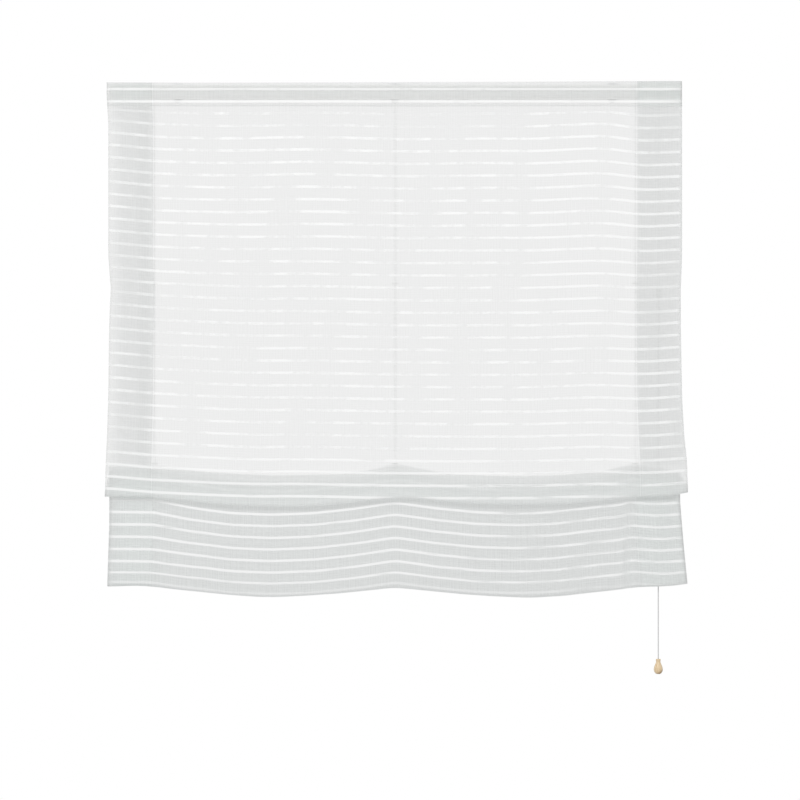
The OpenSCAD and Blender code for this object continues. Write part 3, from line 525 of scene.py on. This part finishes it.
def sheet_of_cloth():
    rows, cols = stations(), columns()
    x, cut, behind = np.array(cols).T
    hang = HangingCloth(x, behind)
    points, places, covers, shown = [], [], [], []
    for stretch, t in rows:
        y, z, place = getattr(hang, stretch)(t)
        points.append(np.stack([moved_out(x, z, stretch, t), y, z], 1))
        places.append(np.stack([cut, place], 1))
        covers.append(thread_cover(hang, z, stretch, t))
        shown.append(stripe_strength(x, z, stretch, t))
    mesh = bpy.data.meshes.new("sheer_cloth")
    mesh.from_pydata(np.concatenate(points).tolist(), [], grid_faces(len(rows), len(cols)))
    smooth(mesh)
    add_uv(mesh, "Cloth", np.concatenate(places))
    width = cut.max() - cut.min()
    even = np.repeat(np.linspace(0, 1, len(rows)), len(cols))
    flat = np.stack([np.tile((cut - cut.min()) / width, len(rows)), even], 1)
    add_uv(mesh, "OFBake", BAKE_MARGIN + (1 - 2 * BAKE_MARGIN) * flat)
    for name, values in (("cover", covers), ("shown", shown)):
        layer = mesh.attributes.new(name, "FLOAT", "POINT")
        layer.data.foreach_set("value", np.concatenate(values).astype(np.float32))
    ob = new_object("sheer_cloth", mesh)
    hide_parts("cloth")
    return ob


cloth = sheet_of_cloth()


# Thread that ties each ring to its tape, to the crest or to the free hem: three turns round the wire

# Middle of each ring of a tape, as (y, z)
RING_ROWS = ((-0.0299, -0.4666), (-0.0287, -0.9053), (-0.0247, -0.9153))
RING_MID_R, WIRE_R = 0.0070, 0.0010
THREAD_R, THREAD_GAP, THREAD_SIDES, THREAD_STEPS = 0.00022, 0.0001, 8, 16
THREAD_PITCH = 2.1 * THREAD_R
SAME_POINT = 1e-7


def ring_ties(side):
    mesh = bpy.data.meshes.new("ring_ties_" + side)
    bm = bmesh.new()
    for y, z in RING_ROWS:
        for turn in (-1, 0, 1):
            middle = Vector((COLUMN_X[side] + turn * THREAD_PITCH, y - RING_MID_R, z))
            start = middle + Vector((0.0, 0.0, WIRE_R + THREAD_R + THREAD_GAP))
            ring = bmesh.ops.create_circle(bm, segments=THREAD_SIDES, radius=THREAD_R)["verts"]
            bmesh.ops.translate(bm, verts=ring, vec=start)
            edges = list(dict.fromkeys(e for v in ring for e in v.link_edges))
            bmesh.ops.rotate(bm, verts=ring, cent=start, matrix=Matrix.Rotation(math.pi / 2, 3, "X"))
            bmesh.ops.spin(bm, geom=ring + edges, cent=middle, axis=(1.0, 0.0, 0.0), angle=2 * math.pi,
                           steps=THREAD_STEPS, use_merge=True)
    bmesh.ops.remove_doubles(bm, verts=bm.verts, dist=SAME_POINT)
    bmesh.ops.recalc_face_normals(bm, faces=bm.faces)
    bm.to_mesh(mesh)
    bm.free()
    smooth(mesh)
    ob = new_object("ring_ties_" + side, mesh)
    return ob


ties = [ring_ties(side) for side in SIDES]


# Materials

# Numbers of a colour mix's sockets
MIX_SHARE, MIX_A, MIX_B, MIX_RESULT = 0, 6, 7, 2
THREAD_SHINE = 0.15


class Nodes:
    """Short words for building a node tree."""

    def __init__(self, name):
        self.material = bpy.data.materials.new(name)
        self.material.use_nodes = True
        self.tree = self.material.node_tree
        self.shader = next(n for n in self.tree.nodes if n.type == "BSDF_PRINCIPLED")

    def put(self, socket, value):
        if isinstance(value, bpy.types.NodeSocket):
            self.tree.links.new(value, socket)
        else:
            socket.default_value = value

    def set(self, name, value):
        self.put(self.shader.inputs[name], value)

    def math(self, operation, a, b=None, c=None, clamp=False):
        node = self.tree.nodes.new("ShaderNodeMath")
        node.operation = operation
        node.use_clamp = clamp
        for socket, value in zip(node.inputs, (a, b, c)):
            if value is not None:
                self.put(socket, value)
        return node.outputs[0]

    def distance(self, value, place):
        return self.math("ABSOLUTE", self.math("SUBTRACT", value, place))

    def uv(self, name):
        node = self.tree.nodes.new("ShaderNodeUVMap")
        node.uv_map = name
        return node.outputs[0]

    def attribute(self, name):
        node = self.tree.nodes.new("ShaderNodeAttribute")
        node.attribute_name = name
        return node.outputs["Fac"]

    def place(self):
        return self.tree.nodes.new("ShaderNodeTexCoord").outputs["Object"]

    def split(self, vector):
        node = self.tree.nodes.new("ShaderNodeSeparateXYZ")
        self.put(node.inputs[0], vector)
        return node.outputs

    def scaled(self, vector, scale):
        node = self.tree.nodes.new("ShaderNodeMapping")
        self.put(node.inputs["Vector"], vector)
        node.inputs["Scale"].default_value = scale
        return node.outputs[0]

    def noise(self, vector, scale, detail=2.0, rough=0.5):
        node = self.tree.nodes.new("ShaderNodeTexNoise")
        self.put(node.inputs["Vector"], self.scaled(vector, scale))
        node.inputs["Scale"].default_value = 1.0
        node.inputs["Detail"].default_value = detail
        node.inputs["Roughness"].default_value = rough
        return node.outputs[0]

    def ramp(self, value, a, b, low, high, soft=True):
        """Low where the value is a and high where it is b."""
        node = self.tree.nodes.new("ShaderNodeMapRange")
        node.interpolation_type = "SMOOTHSTEP" if soft else "LINEAR"
        for socket, v in zip(node.inputs, (value, a, b, low, high)):
            self.put(socket, v)
        return node.outputs[0]

    def mix(self, share, a, b):
        node = self.tree.nodes.new("ShaderNodeMix")
        node.data_type = "RGBA"
        for socket, v in ((MIX_SHARE, share), (MIX_A, a), (MIX_B, b)):
            self.put(node.inputs[socket], v)
        return node.outputs[MIX_RESULT]

    def bump(self, height, strength, distance):
        node = self.tree.nodes.new("ShaderNodeBump")
        node.inputs["Strength"].default_value = strength
        node.inputs["Distance"].default_value = distance
        self.put(node.inputs["Height"], height)
        self.set("Normal", node.outputs[0])

    def gauze(self, colour, cover, through):
        """Threads that cover part of the surface. Part of the light on a thread goes through it."""
        new = self.tree.nodes.new
        self.set("Base Color", colour)
        self.set("Specular IOR Level", THREAD_SHINE)
        back = new("ShaderNodeBsdfTranslucent")
        self.put(back.inputs["Color"], colour)
        thread, gaps = new("ShaderNodeMixShader"), new("ShaderNodeMixShader")
        self.put(thread.inputs[0], through)
        self.put(thread.inputs[1], self.shader.outputs[0])
        self.put(thread.inputs[2], back.outputs[0])
        self.put(gaps.inputs[0], cover)
        self.put(gaps.inputs[1], new("ShaderNodeBsdfTransparent").outputs[0])
        self.put(gaps.inputs[2], thread.outputs[0])
        out = next(n for n in self.tree.nodes if n.type == "OUTPUT_MATERIAL")
        self.put(out.inputs["Surface"], gaps.outputs[0])


def paint(ob, material):
    ob.data.materials.clear()
    ob.data.materials.append(material)


# Sheer linen. Places are metres across and down the cut, and noises are patches to a metre.

CLOTH_COLOUR, STRIPE_COLOUR = (0.952, 0.962, 0.958, 1.0), (0.970, 0.976, 0.973, 1.0)
CLOTH_ROUGH, CLOTH_RELIEF, CLOTH_DEPTH, STRIPE_RELIEF = 0.85, 0.25, 0.0006, 0.4
# Share of the light on a thread that goes through it
THREAD_THROUGH, STRIPE_THROUGH = 0.70, 0.06
UPRIGHT_THREADS, LEVEL_THREADS, WEAVE_DEPTH = (330, 11, 1), (9, 380, 1), 0.65
STRIPE_PITCH, STRIPE_FIRST, STRIPE_W, STRIPE_BLUR = 0.030, 0.016, 0.0064, 0.0010
STRIPE_COVER, MOST_COVER = 0.84, 0.92
STRIPE_WANDER, WANDER_NOISE = 0.0011, (5, 60, 1)
# Where the flat part passes into the lower panel, and the space between the outer cords into the side hems
PANEL_FROM, HEMS_FROM = (0.88, 0.96), (0.56, 0.60)
# Luck decides where a stripe shows: row by row on the panel, and mostly in zones on the flat part
LUCK_BY_ROW, LUCK_BY_ZONE, ZONES_ALONE_AT = (12, 140, 1), (15, 5, 1), 1.47
# Luck at which a stripe begins to show and is whole, on the panel, and what the flat part adds to both
LUCK_FAINT, LUCK_WHOLE, FLAT_FAINT, FLAT_WHOLE = 0.28, 0.44, 0.035, 0.085
# How much of a stripe is left where it is worn: on the panel and hems, and on the flat part between the cords
WORN_REST, WORN_FLAT_REST = 0.35, 0.18
# Wear, taken off the luck: flat part, its left hem, just below the heading, and the panel's right half
FLAT_WEAR, LEFT_WEAR, LEFT_WEAR_AT = 0.06, 0.10, (-0.57, -0.60)
BELOW_WEAR, BELOW_WEAR_AT = 0.09, (0.085, 0.14)
PANEL_WEAR, PANEL_WEAR_AT = 0.11, (0.05, 0.30)
# Less wear at the right of the flat part, and none on the heading
RIGHT_FRESH, RIGHT_FRESH_AT = 0.06, (0.30, 0.36)
HEADING_WEAR, HEADING_ENDS_AT = -0.10, (0.058, 0.066)
# Seam of the heading and rows of stitches at the side hems: inset, half widths of a soft edge, and cover
SEAM_INSET, SEAM_EDGE, SEAM_COVER = 0.0006, (0.0014, 0.0006), 0.22
ROW_INSET, ROW_EDGE, ROW_COVER = 0.0008, (0.0010, 0.0005), 0.14
STITCH_HALF, STITCH_EDGE, STITCH_GAP = 0.0016, (0.0002, 0.0005), 0.3


def stripe_rows(m, at, down):
    """One along the stripes and none between them. Each wanders a little."""
    wander = m.math("MULTIPLY_ADD", m.noise(at, WANDER_NOISE), 2 * STRIPE_WANDER, -STRIPE_WANDER)
    from_first = m.math("ADD", m.math("SUBTRACT", down, STRIPE_FIRST), wander)
    from_stripe = m.math("PINGPONG", from_first, STRIPE_PITCH / 2)
    return m.ramp(from_stripe, STRIPE_W / 2 + STRIPE_BLUR, STRIPE_W / 2 - STRIPE_BLUR, 0.0, 1.0)


def stripe_patches(m, at, across, down):
    """How much of a stripe is left at each place."""
    flat = m.ramp(down, *PANEL_FROM, 1.0, 0.0)
    between = m.ramp(m.math("ABSOLUTE", across), *HEMS_FROM, 1.0, 0.0)
    by_row = m.noise(at, LUCK_BY_ROW, 3.0, 0.65)
    by_zone = m.noise(at, LUCK_BY_ZONE, 3.0, 0.6)
    luck = m.ramp(flat, 0.0, ZONES_ALONE_AT, by_row, by_zone, soft=False)
    fresh = m.math("MULTIPLY", between, m.ramp(across, *RIGHT_FRESH_AT, 0.0, RIGHT_FRESH))
    worn = m.math("SUBTRACT", m.ramp(across, *LEFT_WEAR_AT, FLAT_WEAR, LEFT_WEAR), fresh)
    below = m.ramp(down, *BELOW_WEAR_AT, BELOW_WEAR, 0.0)
    worn = m.math("ADD", worn, m.ramp(m.math("ABSOLUTE", down), *HEADING_ENDS_AT, HEADING_WEAR, below))
    worn = m.ramp(flat, 0.0, 1.0, m.ramp(across, *PANEL_WEAR_AT, 0.0, PANEL_WEAR), worn, soft=False)
    rest = m.ramp(m.math("MULTIPLY", flat, between), 0.0, 1.0, WORN_REST, WORN_FLAT_REST)
    low = m.math("MULTIPLY_ADD", flat, FLAT_FAINT, LUCK_FAINT)
    high = m.math("MULTIPLY_ADD", flat, FLAT_WHOLE, LUCK_WHOLE)
    return m.ramp(m.math("SUBTRACT", luck, worn), low, high, rest, 1.0)


def sewn_lines(m, across, down):
    """Cover that the thread adds along the seam of the heading and the rows of stitches at the side hems."""
    from_seam = m.distance(m.math("ABSOLUTE", down), HEADING - SEAM_INSET)
    from_row = m.distance(m.math("ABSOLUTE", across), HALF_BAY - ROW_INSET)
    stitch = m.ramp(m.math("PINGPONG", down, STITCH_HALF), *STITCH_EDGE, STITCH_GAP, 1.0)
    row = m.math("MULTIPLY", stitch, m.ramp(from_row, *ROW_EDGE, 0.0, ROW_COVER))
    return m.math("ADD", m.ramp(from_seam, *SEAM_EDGE, 0.0, SEAM_COVER), row)


def cloth_material():
    """Open weave with satin stripes, worn in patches, and sewn lines."""
    m = Nodes("sheer_linen")
    at = m.uv("Cloth")
    across, down, _ = m.split(at)
    patches = m.math("MULTIPLY", stripe_patches(m, at, across, down), m.attribute("shown"))
    stripe = m.math("MULTIPLY", stripe_rows(m, at, down), patches)
    upright = m.noise(at, UPRIGHT_THREADS, 3.0, 0.6)
    level = m.noise(at, LEVEL_THREADS, 3.0, 0.6)
    weave = m.math("MULTIPLY_ADD", m.math("ADD", upright, level), 0.5, -0.5)
    threads = m.attribute("cover")
    body = m.math("MULTIPLY_ADD", weave, m.math("MULTIPLY", threads, WEAVE_DEPTH), threads)
    whole = m.math("MINIMUM", m.math("MULTIPLY", STRIPE_COVER / OPEN_COVER, threads), MOST_COVER)
    cover = m.math("ADD", body, m.math("MULTIPLY", stripe, m.math("SUBTRACT", whole, body)))
    cover = m.math("ADD", cover, sewn_lines(m, across, down), clamp=True)
    m.set("Roughness", CLOTH_ROUGH)
    m.bump(m.math("ADD", weave, m.math("MULTIPLY", stripe, STRIPE_RELIEF)), CLOTH_RELIEF, CLOTH_DEPTH)
    through = m.ramp(stripe, 0.0, 1.0, THREAD_THROUGH, STRIPE_THROUGH, soft=False)
    m.gauze(m.mix(stripe, CLOTH_COLOUR, STRIPE_COLOUR), cover, through)
    return m.material


# Ring tape: cover of its ground, of its edges and of the dense thread at the right of the middle one

TAPE_COLOUR, TAPE_ROUGH, TAPE_THROUGH = (0.95, 0.955, 0.95, 1.0), 0.8, 0.4
TAPE_COVER, TAPE_EDGE_COVER, DENSE_THREAD_COVER = 0.04, 0.07, 0.60
TAPE_EDGE, DENSE_THREAD_X, DENSE_THREAD_EDGE = (0.0026, 0.0032), 0.0034, (0.0008, 0.0005)
RIB_HALF, RIB_HEIGHT, RIB_RELIEF, RIB_DEPTH = 0.0012, 400.0, 0.3, 0.0003


def tape_material():
    """Narrow sheer tape with a thread along each edge, the densest at the right of the middle tape."""
    m = Nodes("ring_tape")
    x, _, z = m.split(m.place())
    from_middle = m.distance(m.math("PINGPONG", m.math("ADD", x, CORD_X / 2), CORD_X / 2), CORD_X / 2)
    edge = m.ramp(from_middle, *TAPE_EDGE, 0.0, TAPE_EDGE_COVER)
    dense = m.ramp(m.distance(x, DENSE_THREAD_X), *DENSE_THREAD_EDGE, 0.0, DENSE_THREAD_COVER)
    m.set("Roughness", TAPE_ROUGH)
    m.gauze(TAPE_COLOUR, m.math("ADD", m.math("ADD", edge, dense), TAPE_COVER), TAPE_THROUGH)
    m.bump(m.math("MULTIPLY", m.math("PINGPONG", z, RIB_HALF), RIB_HEIGHT), RIB_RELIEF, RIB_DEPTH)
    return m.material


def plain(name, colour, rough, metal=0.0, grain=(900,) * 3, strength=0.08, depth=0.0002, spread=0.08):
    """One colour with a fine grain in its relief and its shine."""
    m = Nodes(name)
    fine = m.noise(m.place(), grain, 3.0, 0.55)
    m.set("Base Color", (*colour, 1.0))
    m.set("Metallic", metal)
    m.set("Roughness", m.math("MULTIPLY_ADD", fine, 2 * spread, rough - spread))
    m.bump(fine, strength, depth)
    return m.material


# Braided cords

# Pull cord: strands round it and crossings to a metre. Lift cords: radians to a metre across, and crossings.
PULL_STRANDS, PULL_CROSSINGS = 4, 330
LIFT_STRANDS, LIFT_CROSSINGS = 4200.0, 420
# The braid's hollows get a painted shade, darker than its raised strands
BRAID_ROUGH, BRAID_RELIEF, BRAID_DEPTH, BRAID_SHADE_TONES = 0.75, 0.4, 0.0002, (-0.6, 0.8)


def cord_material(name, mapped, hollow_shade, raised):
    """Two sets of strands that cross round the cord: painted shade in the hollows between them and a paler
    grey on the strands.
    """
    m = Nodes(name)
    if mapped:
        around, along, _ = m.split(m.uv("Along"))
        phase = m.math("MULTIPLY", around, 2 * math.pi * PULL_STRANDS)
        run = m.math("MULTIPLY", along, 2 * math.pi * PULL_CROSSINGS)
    else:
        x, y, z = m.split(m.place())
        phase = m.math("MULTIPLY", m.math("ADD", x, y), LIFT_STRANDS)
        run = m.math("MULTIPLY", m.math("ADD", z, x), 2 * math.pi * LIFT_CROSSINGS)
    one = m.math("SINE", m.math("ADD", phase, run))
    two = m.math("SINE", m.math("SUBTRACT", phase, run))
    relief = m.math("MAXIMUM", one, two)
    # Painted shade in the braid's hollows, the strands paler
    tone = m.ramp(relief, *BRAID_SHADE_TONES, 0.0, 1.0)
    m.set("Base Color", m.mix(tone, (hollow_shade, hollow_shade, hollow_shade, 1.0), (raised, raised, raised, 1.0)))
    m.set("Roughness", BRAID_ROUGH)
    m.bump(relief, BRAID_RELIEF, BRAID_DEPTH)
    return m.material


# Wood of the pull

WOOD_PALE, WOOD_LINE, WOOD_BRIGHT = (0.80, 0.63, 0.40, 1.0), (0.68, 0.48, 0.27, 1.0), (0.86, 0.71, 0.49, 1.0)
# The dark brown of the foot is painted shade, partly end grain
WOOD_END_SHADE, WOOD_PORE = (0.38, 0.25, 0.12, 1.0), (0.36, 0.24, 0.12, 1.0)
GRAIN_NOISE, BEND_NOISE, PORE_NOISE = (150, 150, 18), (40, 40, 8), (1400, 1400, 120)
LINE_TURN, LINE_SKEW, LINE_BEND = 1900.0, 0.6, 14.4
LINE_TONES, BRIGHT_TONES, BRIGHT_SHARE = (-0.4, 1.0), (0.35, 0.7), 0.5
PORE_TONES, PORE_SHARE = (0.60, 0.72), 0.45
# Painted shade darkens the foot of the pull towards its right, where the light falls off, and partly stands
# for darker end grain there: slope, where it begins and ends, and share
END_SHADE_SLOPE, END_SHADE_AT, END_SHADE_SHARE = -0.70, (-1.8600, -1.8680), 0.85
WOOD_ROUGH, WOOD_ROUGH_SPREAD, WOOD_COAT, WOOD_COAT_ROUGH = 0.34, 0.2, 0.15, 0.25
WOOD_RELIEF, WOOD_DEPTH, PORE_RELIEF = 0.12, 0.0002, 0.5


def wood_material():
    """Pale turned wood: long grain, fine pores, a few darker growth lines, and painted shade, partly dark end
    grain, at the foot towards one side.
    """
    m = Nodes("turned_wood")
    at = m.place()
    x, y, z = m.split(at)
    grain = m.noise(at, GRAIN_NOISE, 4.0, 0.6)
    skewed = m.math("ADD", x, m.math("MULTIPLY", y, LINE_SKEW))
    bend = m.math("MULTIPLY", m.noise(at, BEND_NOISE), LINE_BEND)
    lines = m.math("SINE", m.math("MULTIPLY_ADD", skewed, LINE_TURN, bend))
    pores = m.ramp(m.noise(at, PORE_NOISE, 2.0, 0.6), *PORE_TONES, 0.0, 1.0)
    tone = m.mix(m.ramp(lines, *LINE_TONES, 0.0, 1.0), WOOD_PALE, WOOD_LINE)
    tone = m.mix(m.ramp(grain, *BRIGHT_TONES, 0.0, BRIGHT_SHARE), tone, WOOD_BRIGHT)
    # Painted shade at the lower right of the pull, partly dark end grain
    tone = m.mix(m.ramp(m.math("MULTIPLY_ADD", x, END_SHADE_SLOPE, z), *END_SHADE_AT, 0.0, END_SHADE_SHARE), tone, WOOD_END_SHADE)
    m.set("Base Color", m.mix(m.math("MULTIPLY", pores, PORE_SHARE), tone, WOOD_PORE))
    m.set("Roughness", m.math("MULTIPLY_ADD", grain, WOOD_ROUGH_SPREAD, WOOD_ROUGH))
    m.set("Coat Weight", WOOD_COAT)
    m.set("Coat Roughness", WOOD_COAT_ROUGH)
    m.bump(m.math("SUBTRACT", grain, m.math("MULTIPLY", pores, PORE_RELIEF)), WOOD_RELIEF, WOOD_DEPTH)
    return m.material


# A finish for every piece. The part's own cloth and pull cord are replaced, so they need none.

paint(cloth, cloth_material())
thread = plain("white_thread", (0.80, 0.80, 0.79), 0.8, grain=(3000,) * 3, strength=0.3)
for tie in ties:
    paint(tie, thread)
# The darker grey of each braid is painted shade in its hollows
paint(pull, cord_material("pull_braid", True, hollow_shade=0.46, raised=0.70))
white_plastic = plain("white_plastic", (0.80, 0.80, 0.79), 0.42)
gloss_plastic = plain("gloss_plastic", (0.82, 0.82, 0.81), 0.22, strength=0.03)
steel = plain("zinc_steel", (0.66, 0.66, 0.67), 0.34, metal=1.0, grain=(90, 2600, 2600), strength=0.06)
brass = plain("knurled_brass", (0.62, 0.45, 0.20), 0.30, metal=1.0)
rail_paint = plain("white_lacquer", (0.88, 0.88, 0.87), 0.32, grain=(40, 1500, 1500), strength=0.03)
loops = plain("loop_strip", (0.75, 0.75, 0.745), 0.95, grain=(1800,) * 3, strength=0.7, depth=0.0006)
hooks = plain("hook_strip", (0.90, 0.90, 0.895), 0.80, grain=(1300,) * 3, strength=0.9, depth=0.0008)
BY_NODE = {
    "headrail": rail_paint, "end_cap": white_plastic, "bracket": steel, "cam_lever": gloss_plastic,
    "guide": white_plastic, "guide_axle": steel, "guide_roller": gloss_plastic,
    "lock_housing": white_plastic, "lock_axle": steel, "lock_wheel": gloss_plastic, "lock_roller": brass,
    "loop_strip": loops, "hook_strip": hooks, "ring_tape": tape_material(), "rings": gloss_plastic,
    "lift_cord": cord_material("lift_braid", False, hollow_shade=0.66, raised=0.84),
    "cord_joiner": gloss_plastic, "acorn": wood_material(),
}
SHARP_ANGLE = math.radians(32)
for name, ob in cad.items():
    ob.data.shade_smooth()
    ob.data.set_sharp_from_angle(angle=SHARP_ANGLE)
    known = [key for key in BY_NODE if name.startswith(key)]
    if known:
        paint(ob, BY_NODE[max(known, key=len)])


# Floor, light and white surroundings

FLOOR_HALF, FLOOR_Z, FLOOR_ROUGH = 3.5, -2.2, 0.9
FLOOR_COLOUR = (0.77, 0.77, 0.77, 1.0)


def seen_white(tree):
    """One where the camera looks straight or by way of a shiny piece, so that both see plain white."""
    path = tree.nodes.new("ShaderNodeLightPath")
    either = tree.nodes.new("ShaderNodeMath")
    either.operation = "MAXIMUM"
    tree.links.new(path.outputs["Is Camera Ray"], either.inputs[0])
    tree.links.new(path.outputs["Is Glossy Ray"], either.inputs[1])
    return either.outputs[0]


def white_or(tree, other, kind, out):
    """Plain white of the given kind of node where that is seen, and the other shader for all other light."""
    white = tree.nodes.new(kind)
    white.inputs["Color"].default_value = WHITE
    white.inputs["Strength"].default_value = 1.0
    choose = tree.nodes.new("ShaderNodeMixShader")
    tree.links.new(seen_white(tree), choose.inputs[0])
    tree.links.new(other.outputs[0], choose.inputs[1])
    tree.links.new(white.outputs[0], choose.inputs[2])
    tree.links.new(choose.outputs[0], out.inputs["Surface"])


def floor():
    mesh = bpy.data.meshes.new("floor")
    bm = bmesh.new()
    bmesh.ops.create_grid(bm, x_segments=1, y_segments=1, size=FLOOR_HALF)
    bmesh.ops.translate(bm, verts=bm.verts, vec=(0.0, 0.0, FLOOR_Z))
    bm.to_mesh(mesh)
    bm.free()
    ob = bpy.data.objects.new("floor", mesh)
    scene.collection.objects.link(ob)
    m = Nodes("floor")
    m.set("Base Color", FLOOR_COLOUR)
    m.set("Roughness", FLOOR_ROUGH)
    out = next(n for n in m.tree.nodes if n.type == "OUTPUT_MATERIAL")
    white_or(m.tree, m.shader, "ShaderNodeEmission", out)
    mesh.materials.append(m.material)


def surroundings(strength):
    world = bpy.data.worlds.new("studio")
    scene.world = world
    world.use_nodes = True
    tree = world.node_tree
    tree.nodes.clear()
    soft = tree.nodes.new("ShaderNodeBackground")
    soft.inputs["Color"].default_value = WHITE
    soft.inputs["Strength"].default_value = strength
    white_or(tree, soft, "ShaderNodeBackground", tree.nodes.new("ShaderNodeOutputWorld"))


def lamp(name, place, target, size, watts):
    data = bpy.data.lights.new(name, "AREA")
    data.shape = "DISK"
    data.size = size
    data.energy = watts
    ob = bpy.data.objects.new(name, data)
    ob.location = place
    ob.rotation_euler = (Vector(target) - Vector(place)).to_track_quat("-Z", "Y").to_euler()
    scene.collection.objects.link(ob)


floor()
surroundings(strength=0.60)
lamp("key", place=(-1.0, -5.9, 3.6), target=(0.0, 0.0, -0.6), size=2.4, watts=236.0)
scene.view_settings.view_transform = "Standard"
scene.cycles.max_bounces = 24
scene.cycles.diffuse_bounces = 16
scene.cycles.transparent_max_bounces = 32
